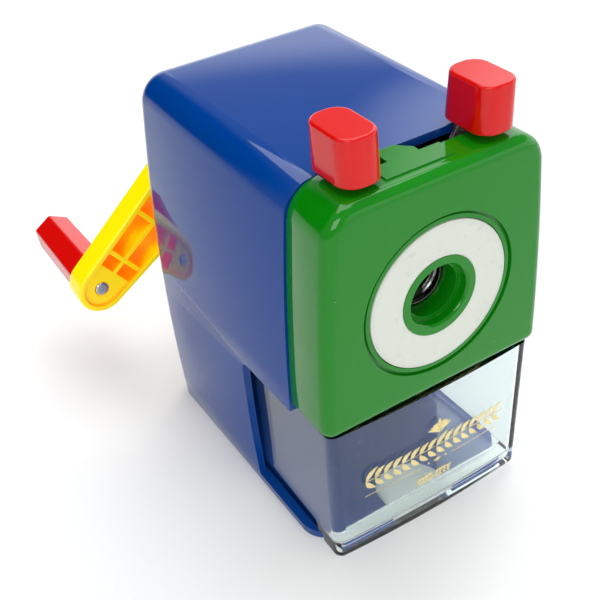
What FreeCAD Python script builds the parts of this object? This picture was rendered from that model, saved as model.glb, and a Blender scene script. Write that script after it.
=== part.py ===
import FreeCAD, Part
import math
import os

V = FreeCAD.Vector

# Desk pencil sharpener with a hand crank, millimetres. Origin at the centre of the base on the table,
# +Z up, the pencil goes in along +Y, the crank is at the back (+Y).

# Body
BODY_W = 62.0
BODY_H = 99.4
BODY_D = 68.5
BULGE = 0.0009
BULGE_Z = 39.4
WALL = 1.9
FRONT = -BODY_D / 2
BACK = BODY_D / 2
TOP_R = 7.3
NOTCH_D = 21.8
SILL_T = 2.2
FLOOR_FRONT = FRONT - 5.7

# Moving front plate
PLATE_T = 14.0
PLATE_Z = 42.3
PLATE_IN = 0.64
PLATE_FACE = FRONT - PLATE_T
AXIS_Z = 69.0
RING_R = 17.96
SLOT_IN = 4.9
RING_IN_R = 9.69
GROOVE_R = 19.9
MOUTH_R = 7.4
HOLE_R = 5.7

# Levers, knobs and jaws
KNOB_X = 16.7
KNOB_Y = FRONT - 4.7
KNOB_TOP = 111.5
KNOB_H = 10.5
KNOB_A = 4.7
KNOB_B = 7.1
JAW_OPEN = 2.9

# Guide rods
ROD_X = 19.5
ROD_Z = 54.0
ROD_R = 2.0

# Cutter and gears
GEAR_M = 0.8
RING_TEETH = 32
PINION_TEETH = 14
TILT = 10.5
CUTTER_R = 7.0
GEAR_Y = 21.5
GEAR_T = 3.0
CUT_Y0 = -9.0
CUT_Y1 = 16.4

# Crank
ARM_L = 55.0
ARM_DOWN = 37.6
ARM_Y0 = 44.3
ARM_Y1 = 52.3
HANDLE_L = 29.5
HANDLE_R = 6.4

# Drawer
DRAWER_FRONT = FRONT - 13.75
DRAWER_BOW_R = 370.0
DRAWER_BACK = 24.0
DRAWER_TOP_W = 29.0
DRAWER_LOW_W = 28.3
DRAWER_REAR_IN = (1.3, 0.7)
APRON_Z = 0.35
APRON_BACK = FLOOR_FRONT - 0.4
DRAWER_Z0 = 2.5
DRAWER_Z1 = 41.8
DRAWER_WALL = 1.7

os.makedirs("parts", exist_ok=True)


def save(name, shape):
    shape = shape.removeSplitter()
    shape.exportStep("parts/" + name + ".step")


def half(z):
    return BODY_W / 2 - BULGE * (z - BULGE_Z) ** 2


def rod_y(r, y0, y1, x=0.0, z=AXIS_Z):
    return Part.makeCylinder(r, y1 - y0, V(x, y0, z), V(0, 1, 0))


def rod_z(r, z0, z1, x=0.0, y=0.0):
    return Part.makeCylinder(r, z1 - z0, V(x, y, z0), V(0, 0, 1))


def cone_y(r0, r1, y0, y1, x=0.0, z=AXIS_Z):
    return Part.makeCone(r0, r1, y1 - y0, V(x, y0, z), V(0, 1, 0))


def tube_y(r1, r0, y0, y1, x=0.0, z=AXIS_Z):
    return rod_y(r1, y0, y1, x, z).cut(rod_y(r0, y0 - 1, y1 + 1, x, z))


def box(x0, x1, y0, y1, z0, z1):
    return Part.makeBox(x1 - x0, y1 - y0, z1 - z0, V(x0, y0, z0))


def face_of(points):
    wire = Part.makePolygon(points + [points[0]])
    return Part.Face(wire)


def along_y(edge):
    a = edge.Vertexes[0].Point
    b = edge.Vertexes[-1].Point
    return abs(a.x - b.x) < 0.01 and abs(a.z - b.z) < 0.01 and abs(a.y - b.y) > 0.1


def fillet_where(shape, radius, test):
    edges = [e for e in shape.Edges if test(e)]
    return shape.makeFillet(radius, edges)


def block(inset, z0, z1, y0, y1, top_r, low_r):
    # bulged section in XZ, swept along Y, with rounded long edges
    zm = (z0 + z1) / 2
    left = [V(-half(z) + inset, y0, z) for z in (z0, zm, z1)]
    right = [V(half(z) - inset, y0, z) for z in (z0, zm, z1)]
    edges = [
        Part.Arc(left[0], left[1], left[2]).toShape(),
        Part.LineSegment(left[2], right[2]).toShape(),
        Part.Arc(right[2], right[1], right[0]).toShape(),
        Part.LineSegment(right[0], left[0]).toShape(),
    ]
    solid = Part.Face(Part.Wire(edges)).extrude(V(0, y1 - y0, 0))
    if top_r > 0:
        solid = fillet_where(solid, top_r, lambda e: along_y(e) and e.Vertexes[0].Point.z > z1 - 0.01)
    if low_r > 0:
        solid = fillet_where(solid, low_r, lambda e: along_y(e) and e.Vertexes[0].Point.z < z0 + 0.01)
    return solid


def on_plane_y(edge, y):
    return abs(edge.BoundBox.YMin - y) < 0.01 and abs(edge.BoundBox.YMax - y) < 0.01


# ---------------------------------------------------------------- body shell
def body_shell():
    outer = block(0, 0, BODY_H, FRONT, BACK, TOP_R, 0)
    outer = fillet_where(outer, 5.5, lambda e: on_plane_y(e, BACK) and e.BoundBox.ZMax > 1)
    inner = block(WALL, -1, BODY_H - WALL, FRONT - 1, BACK - 2.4, TOP_R - WALL, 0)
    inner = fillet_where(inner, 3.6, lambda e: on_plane_y(e, BACK - 2.4) and e.BoundBox.ZMax > 1)
    shell = outer.cut(inner)
    # the drawer shows through an opening at the lower front of each side
    opening = box(-40, 40, FRONT - 1, FRONT + NOTCH_D, -1, PLATE_Z)
    opening = fillet_where(opening, 2.5, lambda e: abs(e.BoundBox.YMin - FRONT - NOTCH_D) < 0.01
                           and abs(e.BoundBox.YMax - FRONT - NOTCH_D) < 0.01
                           and e.BoundBox.ZMin > 10)
    shell = shell.cut(opening)
    # two screw posts for the floor, in the rear corners
    for x in (-21.0, 21.0):
        post = rod_z(3.2, SILL_T + 0.05, 43.0, x, 28.0)
        web = box(x - 0.8, x + 0.8, 28.0, BACK - 1.0, SILL_T + 0.05, 43.0)
        shell = shell.fuse(post.fuse(web))
        shell = shell.cut(rod_z(1.0, 0, 12.0, x, 28.0))
    # holes for the crank bearing and the frame screws
    shell = shell.cut(rod_y(7.0, BACK - 4, BACK + 1))
    for x in (-19.0, 19.0):
        for z in (52.0, 84.0):
            shell = shell.cut(rod_y(1.35, BACK - 4, BACK + 1, x, z))
            shell = shell.cut(rod_y(2.75, BACK - 1.1, BACK + 1, x, z))
    return shell


save("body_shell", body_shell())


# ---------------------------------------------------------------- floor plate
def base_floor():
    # rear part inside the walls
    rear = block(WALL + 0.03, 0, SILL_T, FRONT + NOTCH_D, BACK - 2.43, 0, 0)
    rear = fillet_where(rear, 3.6, lambda e: abs(e.BoundBox.YMin - BACK + 2.43) < 0.01
                        and e.BoundBox.ZLength > 1 and e.BoundBox.XLength < 0.5)
    front = block(0, 0, SILL_T, FLOOR_FRONT, FRONT + NOTCH_D - 0.02, 0, 0)
    front = fillet_where(front, 7.0, lambda e: abs(e.BoundBox.YMin - FLOOR_FRONT) < 0.01
                         and abs(e.BoundBox.YMax - FLOOR_FRONT) < 0.01
                         and e.BoundBox.ZLength > 1 and e.BoundBox.XLength < 0.5)
    bridge = box(-27.0, 27.0, FRONT + NOTCH_D - 1, FRONT + NOTCH_D + 1, 0, SILL_T)
    floor = rear.fuse(bridge).fuse(front)
    # feet pockets, screw holes and two drawer runners
    for x in (-21.0, 21.0):
        for y in (-30.0, 19.0):
            floor = floor.cut(rod_z(5.0, -1, 1.0, x, y))
        floor = floor.cut(rod_z(1.35, -1, 5, x, 28.0))
        floor = floor.cut(rod_z(2.75, -1, 1.2, x, 28.0))
    # thumb notch in the front of the floor, to push the drawer out
    recess = box(-9.5, 9.3, FLOOR_FRONT - 1, FRONT + 4.8, -1, 5)
    recess = fillet_where(recess, 8.6, lambda e: e.BoundBox.ZLength > 1 and e.BoundBox.YMin > FRONT + 4.5)
    floor = floor.cut(recess)
    return floor


save("base_floor", base_floor())

feet = None
for x in (-21.0, 21.0):
    for y in (-30.0, 19.0):
        pad = rod_z(4.97, 0, 1.0, x, y)
        feet = pad if feet is None else feet.fuse(pad)
save("rubber_feet", feet)


def screw_z(x, y, z_head, length):
    head = rod_z(2.5, z_head, z_head + 0.9, x, y)
    shank = rod_z(1.0, z_head + 0.9, z_head + length, x, y)
    slot = box(x - 1.6, x + 1.6, y - 0.3, y + 0.3, z_head - 0.1, z_head + 0.45)
    slot2 = box(x - 0.3, x + 0.3, y - 1.6, y + 1.6, z_head - 0.1, z_head + 0.45)
    return head.fuse(shank).cut(slot).cut(slot2)


def screw_y(x, z, y_head, length, head_r=2.5, r=1.0, sign=-1.0):
    # head at y_head, shank going towards sign*Y
    a = V(x, y_head, z)
    d = V(0, sign, 0)
    head = Part.makeCylinder(head_r, 0.9, a, d)
    shank = Part.makeCylinder(r, length - 0.9, a + d * 0.9, d)
    slot = Part.makeBox(head_r * 1.3, 0.5, 0.5, V(x - head_r * 0.65, y_head - (0.45 if sign < 0 else 0.05), z - 0.25))
    slot2 = Part.makeBox(0.5, 0.5, head_r * 1.3, V(x - 0.25, y_head - (0.45 if sign < 0 else 0.05), z - head_r * 0.65))
    return head.fuse(shank).cut(slot).cut(slot2)


screws = screw_z(-21.0, 28.0, 0.3, 11.5).fuse(screw_z(21.0, 28.0, 0.3, 11.5))
save("floor_screws", screws)


# ---------------------------------------------------------------- gear frame
FRAME_Y0 = FRONT + 3.8
FRAME_Y1 = BACK - 2.4
FRAME_X = 25.2
FRAME_Z0 = 44.4
FRAME_Z1 = 90.0


def gear_frame():
    frame = box(-FRAME_X, FRAME_X, FRAME_Y0, FRAME_Y1, FRAME_Z0, FRAME_Z1)
    frame = fillet_where(frame, 3.0, lambda e: along_y(e) and e.Vertexes[0].Point.z > FRAME_Z1 - 0.01)
    frame = fillet_where(frame, 4.5, lambda e: on_plane_y(e, FRAME_Y1) and e.BoundBox.ZLength > 9)
    bays = [(FRAME_Y0 + 2.0, GEAR_Y - 2.2), (GEAR_Y + 2.2, FRAME_Y1 - 3.0)]
    for y0, y1 in bays:
        bay = box(-FRAME_X + 1.6, FRAME_X - 1.6, y0, y1, FRAME_Z0 - 1, FRAME_Z1 + 1)
        frame = frame.cut(bay)
    # open front wall and the seat of the ring gear
    frame = frame.cut(rod_y(17.5, FRAME_Y0 - 1, FRAME_Y0 + 3))
    frame = frame.cut(rod_y(16.5, GEAR_Y - 3, GEAR_Y + 3))
    frame = frame.cut(rod_y(7.0, FRAME_Y1 - 4, FRAME_Y1 + 1))
    for x in (-ROD_X, ROD_X):
        frame = frame.fuse(rod_y(3.9, FRAME_Y0, FRAME_Y0 + 5.0, x, ROD_Z).common(
            box(-FRAME_X, FRAME_X, FRAME_Y0, FRAME_Y0 + 6, FRAME_Z0, FRAME_Z1)))
        frame = frame.cut(rod_y(2.9, FRAME_Y0 - 1, FRAME_Y0 + 6, x, ROD_Z))
    for x in (-19.0, 19.0):
        for z in (52.0, 84.0):
            frame = frame.cut(rod_y(1.0, FRAME_Y1 - 4, FRAME_Y1 + 1, x, z))
    return frame


save("gear_frame", gear_frame())

bushes = None
for x in (-ROD_X, ROD_X):
    b = tube_y(2.88, ROD_R + 0.05, FRAME_Y0 - 0.6, FRAME_Y0 + 5.0, x, ROD_Z)
    b = b.fuse(tube_y(3.6, ROD_R + 0.05, FRAME_Y0 - 0.6, FRAME_Y0 - 0.02, x, ROD_Z))
    bushes = b if bushes is None else bushes.fuse(b)
save("rod_bushes", bushes)

fs = None
for x in (-19.0, 19.0):
    for z in (52.0, 84.0):
        s = screw_y(x, z, BACK - 0.2, 5.0)
        fs = s if fs is None else fs.fuse(s)
save("frame_screws", fs)


# ---------------------------------------------------------------- gears
def tooth_ring(teeth, r_root, r_tip, half_root, half_tip, y0, y1, phase, outward):
    # teeth as tapered wedges in the XZ plane about the axis through the origin
    solids = []
    for i in range(teeth):
        a = phase + 2 * math.pi * i / teeth
        overlap = -0.4 if outward else 0.4
        p = []
        rb = r_root + overlap
        for r, h in ((rb, half_root), (r_tip, half_tip)):
            p.append((r, h))
        pts = [
            V(p[0][0] * math.cos(a) - p[0][1] * math.sin(a), y0, p[0][0] * math.sin(a) + p[0][1] * math.cos(a)),
            V(p[1][0] * math.cos(a) - p[1][1] * math.sin(a), y0, p[1][0] * math.sin(a) + p[1][1] * math.cos(a)),
            V(p[1][0] * math.cos(a) + p[1][1] * math.sin(a), y0, p[1][0] * math.sin(a) - p[1][1] * math.cos(a)),
            V(p[0][0] * math.cos(a) + p[0][1] * math.sin(a), y0, p[0][0] * math.sin(a) - p[0][1] * math.cos(a)),
        ]
        solids.append(face_of(pts).extrude(V(0, y1 - y0, 0)))
    return solids


RING_P = GEAR_M * RING_TEETH / 2
PIN_P = GEAR_M * PINION_TEETH / 2
CENTRE = RING_P - PIN_P

ring = tube_y(16.47, RING_P + 0.85, GEAR_Y - GEAR_T / 2, GEAR_Y + GEAR_T / 2)
flange = tube_y(18.5, RING_P + 0.85, GEAR_Y - 3.4, GEAR_Y - 2.22)
ring = ring.fuse(tube_y(16.47, RING_P + 0.85, GEAR_Y - 2.6, GEAR_Y - GEAR_T / 2)).fuse(flange)
wedges = tooth_ring(RING_TEETH, RING_P + 0.85, RING_P - 0.5, 0.75, 0.27,
                    GEAR_Y - GEAR_T / 2, GEAR_Y + GEAR_T / 2, math.pi / RING_TEETH, False)
for w in wedges:
    w.translate(V(0, 0, AXIS_Z))
ring = ring.multiFuse(wedges)
save("ring_gear", ring)

bearing = tube_y(6.97, 4.05, BACK - 5.4, BACK + 1.0).fuse(tube_y(9.5, 4.05, BACK + 0.02, BACK + 1.0))
save("rear_bearing", bearing)


def lie_down(shape):
    # turns a shape made along +X to the rest direction of the crank arm
    shape.rotate(V(0, 0, AXIS_Z), V(0, 1, 0), 180.0 - ARM_DOWN)
    return shape


def tilt(shape):
    # lies the cutter axis over: closest to the crank axis at the gear, further away at the front
    shape.rotate(V(0, GEAR_Y, AXIS_Z + CENTRE), V(1, 0, 0), -TILT)
    return shape


def pinion():
    body = tube_y(PIN_P - 0.85, 1.95, GEAR_Y - 1.2, GEAR_Y + 1.2, 0, AXIS_Z + CENTRE)
    teeth = tooth_ring(PINION_TEETH, PIN_P - 0.85, PIN_P + 0.5, 0.62, 0.24,
                       GEAR_Y - 1.2, GEAR_Y + 1.2, math.pi / 2, True)
    for t in teeth:
        t.translate(V(0, 0, AXIS_Z + CENTRE))
    hub = tube_y(3.4, 1.95, CUT_Y1 + 0.05, GEAR_Y + 1.2, 0, AXIS_Z + CENTRE)
    return tilt(body.multiFuse(teeth + [hub]))


save("cutter_pinion", pinion())

def helical_cutter():
    # hardened cylinder with helical flutes cut as a stack of slightly turned sections
    flutes = 12
    turn = 45.0
    r_out = CUTTER_R
    r_in = CUTTER_R - 0.9
    length = CUT_Y1 - CUT_Y0
    steps = 4
    sections = []
    for k in range(steps + 1):
        ang = math.radians(turn * k / steps)
        pts = []
        for i in range(flutes):
            a = ang + 2 * math.pi * i / flutes
            step = 2 * math.pi / flutes
            for frac, r in ((0.0, r_out), (0.30, r_out - 0.12), (0.42, r_in), (0.80, r_in + 0.05)):
                b = a + frac * step
                pts.append(V(r * math.cos(b), CUT_Y0 + length * k / steps, r * math.sin(b)))
        sections.append(Part.makePolygon(pts + [pts[0]]))
    body = Part.makeLoft(sections, True, True)
    body.translate(V(0, 0, AXIS_Z + CENTRE))
    body = body.cut(rod_y(1.95, CUT_Y0 - 1, CUT_Y1 + 1, 0, AXIS_Z + CENTRE))
    return tilt(body)


save("helical_cutter", helical_cutter())

# ---------------------------------------------------------------- carrier on the crank shaft
SPIN_Y0 = -14.4
SPIN_Y1 = 26.5


def carrier():
    # shaft and rear disc
    disc = rod_y(15.4, 24.6, 27.4)
    shaft = rod_y(4.0, 24.6, 50.5)
    hub = cone_y(6.5, 4.6, 22.9, 24.6)
    flats = box(-6, 6, BACK + 1.6, 51, AXIS_Z + 3.0, AXIS_Z + 6).fuse(
        box(-6, 6, BACK + 1.6, 51, AXIS_Z - 6, AXIS_Z - 3.0))
    body = disc.fuse(shaft.cut(lie_down(flats)))
    # curved bridge opposite the cutter, from the rear disc to the front collar
    bridge = tube_y(11.4, 7.8, -16.6, 25.0)
    keep = box(-9.0, 9.0, -17, 25.5, AXIS_Z - 12, AXIS_Z - 2.5)
    body = body.fuse(bridge.common(keep))
    # front collar guides the pencil
    collar = tube_y(15.4, 4.6, -17.6, -14.6)
    body = body.fuse(collar)
    # seats of the cutter spindle
    seat = rod_y(3.4, SPIN_Y0 - 1.6, SPIN_Y0 + 3.6, 0, AXIS_Z + CENTRE)
    body = body.fuse(tilt(seat).common(rod_y(15.4, -17.6, -9)))
    body = body.cut(tilt(rod_y(2.0, SPIN_Y0 - 8, SPIN_Y1 + 2, 0, AXIS_Z + CENTRE)))
    body = body.cut(rod_y(4.6, -20, -9))
    # screw hole in the end of the shaft
    body = body.cut(rod_y(1.45, 38, 52))
    return body


save("cutter_carrier", carrier())

spindle = tilt(rod_y(1.9, SPIN_Y0 - 2.0, SPIN_Y1, 0, AXIS_Z + CENTRE))
save("cutter_spindle", spindle)
clip = tube_y(3.3, 1.92, CUT_Y0 - 1.3, CUT_Y0 - 0.7, 0, AXIS_Z + CENTRE)
save("spindle_clip", tilt(clip))


# ---------------------------------------------------------------- crank arm and handle
def arm_outline(r_hub, r_end, y0, y1):
    # two circles joined by their tangents, arm along +X from the crank axis
    b = math.asin((r_hub - r_end) / ARM_L)
    s = math.sin(b)
    c = math.cos(b)
    pts = [
        V(r_hub * s, y0, AXIS_Z + r_hub * c),
        V(ARM_L + r_end * s, y0, AXIS_Z + r_end * c),
        V(ARM_L + r_end * s, y0, AXIS_Z - r_end * c),
        V(r_hub * s, y0, AXIS_Z - r_hub * c),
    ]
    web = face_of(pts).extrude(V(0, y1 - y0, 0))
    return web.multiFuse([rod_y(r_hub, y0, y1), rod_y(r_end, y0, y1, ARM_L)]).removeSplitter()


def crank_arm():
    outer = arm_outline(11.0, 7.0, ARM_Y0, ARM_Y1)
    outer = fillet_where(outer, 0.7, lambda e: on_plane_y(e, ARM_Y0) or on_plane_y(e, ARM_Y1))
    pocket = arm_outline(9.4, 5.4, ARM_Y0 - 1, ARM_Y1 - 1.8)
    arm = outer.cut(pocket)
    fill = arm_outline(9.5, 5.5, ARM_Y0 + 0.9, ARM_Y1 - 1.7)
    ribs = [fill.common(box(0, ARM_L, 0, 99, AXIS_Z - 0.6, AXIS_Z + 0.6))]
    for u in (18.0, 31.5, 45.0):
        ribs.append(fill.common(box(u - 0.6, u + 0.6, 0, 99, 0, 99)))
    ribs.append(fill.common(box(49.4, 99, 0, 99, 0, 99)))
    arm = arm.multiFuse(ribs)
    arm = arm.fuse(rod_y(8.4, BACK + 1.7, ARM_Y1 - 1.0))
    # hub hole with two flats, screw seat, pin hole with its head seat
    bore = rod_y(4.03, BACK, 50.6).common(box(-9, 9, 0, 99, AXIS_Z - 3.03, AXIS_Z + 3.03))
    arm = arm.cut(bore)
    arm = arm.cut(rod_y(6.4, 50.6, ARM_Y1 + 1))
    arm = arm.cut(rod_y(1.5, ARM_Y0 - 1, ARM_Y1 + 1, ARM_L))
    arm = arm.cut(rod_y(2.1, ARM_Y0 - 1, ARM_Y0 + 1.6, ARM_L))
    return lie_down(arm)


save("crank_arm", crank_arm())

washer = tube_y(6.0, 1.6, 50.65, 51.35)
save("crank_washer", washer)
screw = screw_y(0, AXIS_Z, 53.4, 15.0, 3.4, 1.42)
screw = screw.fuse(rod_y(3.4, 51.37, 52.7))
save("crank_screw", screw)

HANDLE_Y0 = ARM_Y1 + 0.4
HANDLE_Y1 = HANDLE_Y0 + HANDLE_L
pin_head = rod_y(2.0, ARM_Y0 + 0.55, ARM_Y0 + 1.58, ARM_L)
pin_head = fillet_where(pin_head, 0.5, lambda e: on_plane_y(e, ARM_Y0 + 0.55))
pin = pin_head.fuse(rod_y(1.48, ARM_Y0 + 1.5, HANDLE_Y1 - 2.0, ARM_L))
pin = pin.fuse(rod_y(2.9, HANDLE_Y1 - 2.2, HANDLE_Y1 - 1.2, ARM_L))
save("handle_pin", lie_down(pin))


def hexagon(r, y, x, z, turn):
    pts = []
    for i in range(6):
        a = math.radians(turn + 60.0 * i)
        pts.append(V(x + r * math.cos(a), y, z + r * math.sin(a)))
    return Part.makePolygon(pts + [pts[0]])


def crank_handle():
    x = -ARM_L * math.cos(math.radians(ARM_DOWN))
    z = AXIS_Z - ARM_L * math.sin(math.radians(ARM_DOWN))
    turn = 94.0
    body = Part.makeLoft([hexagon(HANDLE_R, HANDLE_Y0, x, z, turn),
                          hexagon(HANDLE_R - 0.35, HANDLE_Y1, x, z, turn)], True, True)
    body = fillet_where(body, 0.9, lambda e: e.BoundBox.YLength > 10)
    body = fillet_where(body, 0.8, lambda e: on_plane_y(e, HANDLE_Y1) or on_plane_y(e, HANDLE_Y0))
    body = body.cut(rod_y(1.55, HANDLE_Y0 - 1, HANDLE_Y1 + 1, x, z))
    body = body.cut(rod_y(3.2, HANDLE_Y1 - 2.3, HANDLE_Y1 + 1, x, z))
    return body


save("crank_handle", crank_handle())



# ---------------------------------------------------------------- moving front plate
def front_plate():
    rear = FRONT - 0.15
    plate = block(PLATE_IN, PLATE_Z, BODY_H, PLATE_FACE, rear, 8.0, 3.0)
    plate = fillet_where(plate, 2.9, lambda e: on_plane_y(e, PLATE_FACE))
    cavity = block(PLATE_IN + 2.4, PLATE_Z + 2.4, BODY_H - 2.4, PLATE_FACE + 2.7, rear + 1, 5.6, 1.2)
    plate = plate.cut(cavity)
    boss = rod_y(12.2, PLATE_FACE + 2.0, PLATE_FACE + 8.35)
    posts = [boss]
    for x in (-ROD_X, ROD_X):
        posts.append(rod_y(4.2, PLATE_FACE + 2.0, FRONT - 1.4, x, ROD_Z))
        posts.append(rod_y(3.2, PLATE_FACE + 2.0, FRONT - 1.4, x, 84.0))
    plate = plate.multiFuse(posts)
    # recess of the ring, mouth and bore
    plate = plate.cut(tube_y(RING_R + 0.25, RING_IN_R, PLATE_FACE - 1, PLATE_FACE + 1.4))
    plate = plate.cut(tube_y(GROOVE_R, RING_R, PLATE_FACE - 1, PLATE_FACE + 0.35))
    plate = plate.cut(tube_y(GROOVE_R, GROOVE_R - 0.75, PLATE_FACE - 1, PLATE_FACE + 1.1))
    plate = plate.cut(cone_y(MOUTH_R + 0.5, MOUTH_R, PLATE_FACE - 0.001, PLATE_FACE + 0.5))
    plate = plate.cut(rod_y(MOUTH_R, PLATE_FACE - 1, PLATE_FACE + 2.6))
    plate = plate.cut(rod_y(6.5, PLATE_FACE, PLATE_FACE + 9))
    for x in (-ROD_X, ROD_X):
        plate = plate.cut(rod_y(ROD_R + 0.02, PLATE_FACE + 4, 0, x, ROD_Z))
        plate = plate.cut(rod_y(1.0, PLATE_FACE + 4, 0, x, 84.0))
    # raised flat that runs back as a tongue between the two lever slots
    flat = box(-11.0, 6.0, FRONT - 10.2, rear, BODY_H - 1, BODY_H + 0.35)
    plate = plate.fuse(flat)
    for x0, x1 in ((-20.0, -6.8), (1.0, 19.5)):
        plate = plate.cut(box(x0, x1, FRONT - SLOT_IN, FRONT + 1, BODY_H - 5, BODY_H + 1))
    corner = face_of([V(1.1, FRONT - 3.2, 90), V(1.1, FRONT + 1, 90), V(-3.0, FRONT + 1, 90)])
    return plate.cut(corner.extrude(V(0, 0, 20)))


save("front_plate", front_plate())

save("ring_label", tube_y(RING_R, RING_IN_R + 0.03, PLATE_FACE + 0.2, PLATE_FACE + 1.38))
save("nose_ring", tube_y(6.45, HOLE_R, PLATE_FACE + 7.2, PLATE_FACE + 8.3))
save("slot_strip", box(2.0, 17.5, FRONT - SLOT_IN + 0.02, FRONT - SLOT_IN + 0.55, BODY_H - 4.2, BODY_H - 0.6))

JAW_Y0 = PLATE_FACE + 8.45
JAW_Y1 = JAW_Y0 + 1.6
guide = tube_y(14.8, 6.6, JAW_Y0, JAW_Y1)
for k in range(3):
    lane = box(-2.15, 2.15, JAW_Y0 - 1, JAW_Y1 + 1, AXIS_Z + 1, AXIS_Z + 14.0)
    lane.rotate(V(0, 0, AXIS_Z), V(0, 1, 0), 120.0 * k + 60.0)
    guide = guide.cut(lane)
save("jaw_guide", guide)

for k in range(3):
    jaw = box(-2.05, 2.05, JAW_Y0 + 0.05, JAW_Y1 - 0.05, AXIS_Z + JAW_OPEN, AXIS_Z + 11.2)
    wedge = face_of([V(-3, JAW_Y0 - 1, AXIS_Z + 1), V(-3, JAW_Y0 - 1, AXIS_Z + JAW_OPEN + 1.3),
                     V(-0.5, JAW_Y0 - 1, AXIS_Z + JAW_OPEN - 0.01), V(-0.5, JAW_Y0 - 1, AXIS_Z + 1)])
    wedge = wedge.extrude(V(0, 4, 0))
    jaw = jaw.cut(wedge)
    jaw = jaw.cut(wedge.mirror(V(0, 0, 0), V(1, 0, 0)))
    jaw.rotate(V(0, 0, AXIS_Z), V(0, 1, 0), 120.0 * k + 60.0)
    save("jaw_" + str(k + 1), jaw)


# ---------------------------------------------------------------- levers and knobs
def lever_plate(side, y0):
    ring = tube_y(10.4, 7.0, y0, y0 + 1.0)
    dx = side * KNOB_X
    dz = KNOB_TOP - KNOB_H - AXIS_Z + 1.0
    n = math.hypot(dx, dz)
    px = dz / n
    pz = -dx / n
    top = V(dx * 1.13, y0, AXIS_Z + dz * 1.13)
    root = V(dx * 0.28, y0, AXIS_Z + dz * 0.28)
    pts = []
    for c, w in ((root, -3.4), (top, -2.2), (top, 2.2), (root, 3.4)):
        pts.append(V(c.x + px * w, y0, c.z + pz * w))
    arm = face_of(pts).extrude(V(0, 1.0, 0))
    return ring.fuse(arm).cut(rod_y(7.0, y0 - 1, y0 + 2))


def stadium(a, b, r, x, y, z):
    pts = []
    edges = []
    s = r * (1 - math.sqrt(0.5))
    corners = [(1, 1), (-1, 1), (-1, -1), (1, -1)]
    flips = [False, True, False, True]
    ends = []
    for (cx, cy), flip in zip(corners, flips):
        p0 = V(x + cx * a, y + cy * (b - r), z)
        pm = V(x + cx * (a - s), y + cy * (b - s), z)
        p1 = V(x + cx * (a - r), y + cy * b, z)
        if flip:
            p0, p1 = p1, p0
        ends.append((p0, pm, p1))
    for i in range(4):
        p0, pm, p1 = ends[i]
        edges.append(Part.Arc(p0, pm, p1).toShape())
        edges.append(Part.LineSegment(p1, ends[(i + 1) % 4][0]).toShape())
    return Part.Wire(edges)


def knob(side, y_plate):
    z0 = KNOB_TOP - KNOB_H
    low = stadium(KNOB_A * 1.05, KNOB_B * 1.04, 4.1, side * (KNOB_X - 0.2), KNOB_Y, z0)
    top = stadium(KNOB_A, KNOB_B, 3.9, side * (KNOB_X + 0.2), KNOB_Y, KNOB_TOP)
    body = Part.makeLoft([low, top], True, True)
    body = fillet_where(body, 0.7, lambda e: e.BoundBox.ZMin > KNOB_TOP - 0.01)
    body = fillet_where(body, 0.4, lambda e: e.BoundBox.ZMax < z0 + 0.01)
    return body.cut(lever_plate(side, y_plate))


LEVER_Y = (FRONT - 3.75, FRONT - 2.55)
save("lever_plate_left", lever_plate(-1, LEVER_Y[0]))
save("lever_plate_right", lever_plate(1, LEVER_Y[1]))
save("knob_left", knob(-1, LEVER_Y[0]))
save("knob_right", knob(1, LEVER_Y[1]))

collar = tube_y(6.93, 5.75, FRONT - 3.85, FRONT - 1.37)
save("pivot_collar", collar)

back = box(-25.5, 25.5, FRONT - 1.35, FRONT - 0.35, 48.5, 89.0)
back = fillet_where(back, 4.0, lambda e: e.BoundBox.YLength > 0.5 and e.BoundBox.XLength < 0.01
                    and e.BoundBox.ZLength < 0.01)
back = back.cut(rod_y(5.75, -50, 0))
for x in (-ROD_X, ROD_X):
    back = back.cut(rod_y(ROD_R + 0.02, -50, 0, x, ROD_Z))
    back = back.cut(rod_y(1.2, -50, 0, x, 84.0))
save("chuck_back_plate", back)

ps = screw_y(-ROD_X, 84.0, FRONT + 0.57, 7.5).fuse(screw_y(ROD_X, 84.0, FRONT + 0.57, 7.5))
save("plate_screws", ps)

ROD_END = 18.9
for name, x in (("guide_rod_left", -ROD_X), ("guide_rod_right", ROD_X)):
    rod = rod_y(ROD_R, PLATE_FACE + 4.2, ROD_END, x, ROD_Z)
    save(name, fillet_where(rod, 0.5, lambda e: on_plane_y(e, ROD_END)))
clips = tube_y(3.7, ROD_R + 0.01, 17.2, 18.0, -ROD_X, ROD_Z).fuse(
    tube_y(3.7, ROD_R + 0.01, 17.2, 18.0, ROD_X, ROD_Z))
save("rod_clips", clips)
for name, x in (("feed_spring_left", -ROD_X), ("feed_spring_right", ROD_X)):
    save(name, tube_y(3.1, 2.5, FRAME_Y0 + 5.05, 17.15, x, ROD_Z))


# ---------------------------------------------------------------- shavings drawer
def tray(inset, y0, y1, z0, z1, r_side, r_floor):
    # tapered box, a little wider at the front, with a bowed front
    sections = []
    bowed = y0 < APRON_BACK - 1
    for y in (y0 - 1.5 if bowed else y0, y1):
        t = (y - DRAWER_FRONT) / (DRAWER_BACK - DRAWER_FRONT)
        low = DRAWER_LOW_W - DRAWER_REAR_IN[0] * t - inset
        top = DRAWER_TOP_W - DRAWER_REAR_IN[1] * t - inset
        slope = (top - low) / (DRAWER_Z1 - DRAWER_Z0)
        w0 = low + slope * (z0 - DRAWER_Z0)
        w1 = low + slope * (z1 - DRAWER_Z0)
        pts = [V(-w0, y, z0), V(w0, y, z0), V(w1, y, z1), V(-w1, y, z1)]
        sections.append(Part.makePolygon(pts + [pts[0]]))
    solid = Part.makeLoft(sections, True, True)
    if bowed:
        solid = solid.common(rod_z(DRAWER_BOW_R, -5, 60, 0, y0 + DRAWER_BOW_R))
    solid = fillet_where(solid, r_side, lambda e: e.BoundBox.ZLength > (z1 - z0) * 0.8 and e.BoundBox.YLength < 2)
    return fillet_where(solid, r_floor, lambda e: e.BoundBox.ZMax < z0 + 0.01)


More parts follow.
